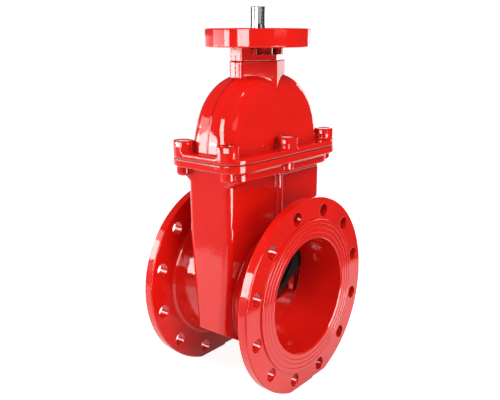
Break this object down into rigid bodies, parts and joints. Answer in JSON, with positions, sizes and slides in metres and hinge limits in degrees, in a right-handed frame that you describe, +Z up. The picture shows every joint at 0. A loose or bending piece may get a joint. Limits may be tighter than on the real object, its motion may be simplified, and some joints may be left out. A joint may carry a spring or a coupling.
{
  "type": "wedge gate valve",
  "caption": "Flanged resilient-seated wedge gate valve: non-rising stem under a round drive flange lifts a rubber-coated wedge out of a straight bore.",
  "frame": {"origin": "bottom centre of the box: on the floor plane of the two cast feet, under the crossing of bore and stem axes", "axes": "+X along the flow, out of the right port; +Y across the body; +Z up along the stem"},
  "size_m": [0.23, 0.3399, 0.637],
  "materials": {
    "red_epoxy": "glossy fusion-bonded epoxy over ductile iron",
    "red_epoxy_bolts": "steel screws coated with the casting",
    "zinc_steel": "zinc-plated screws",
    "seal_wax": "off-white sealing wax",
    "black_rubber": "matt black rubber",
    "wedge_rubber": "satin black vulcanised rubber",
    "brass": "machined",
    "slide_plastic": "moulded natural slide plastic",
    "stainless_steel": "turned and polished stainless steel",
    "bare_iron": "bare ductile iron"
  },
  "bodies": {
    "valve": {"body": "red_epoxy", "bonnet": "red_epoxy", "drive_flange": "red_epoxy", "drive_flange_bolts": "red_epoxy_bolts", "bonnet_bolts": "zinc_steel", "bolt_seals": "seal_wax", "bonnet_gasket": "black_rubber", "neck_gasket": "black_rubber", "stem_bush": "brass", "gland_bush": "brass", "lower_thrust_washer": "slide_plastic", "upper_thrust_washer": "slide_plastic", "stem_seal_rings": "black_rubber", "bush_seal_rings": "black_rubber", "wiper_ring": "black_rubber"},
    "stem": {"stem": "stainless_steel"},
    "wedge": {"wedge_core": "bare_iron", "wedge_rubber": "wedge_rubber", "wedge_nut": "brass", "guide_shoe_left": "slide_plastic", "guide_shoe_right": "slide_plastic"}
  },
  "joints": [
    {"name": "stem_turn", "type": "hinge", "parent": "valve", "child": "stem", "pos_m": [0, 0, 0.6], "axis": [0, 0, 1], "range_deg": [-4033, 10585]},
    {"name": "wedge_lift", "type": "slide", "parent": "valve", "child": "wedge", "axis": [0, 0, 1], "range_m": [-0.056, 0.147]}
  ],
  "couplings": [
    {"joint": "stem_turn", "follows": "wedge_lift", "rad_per_m": 1256.6}
  ]
}
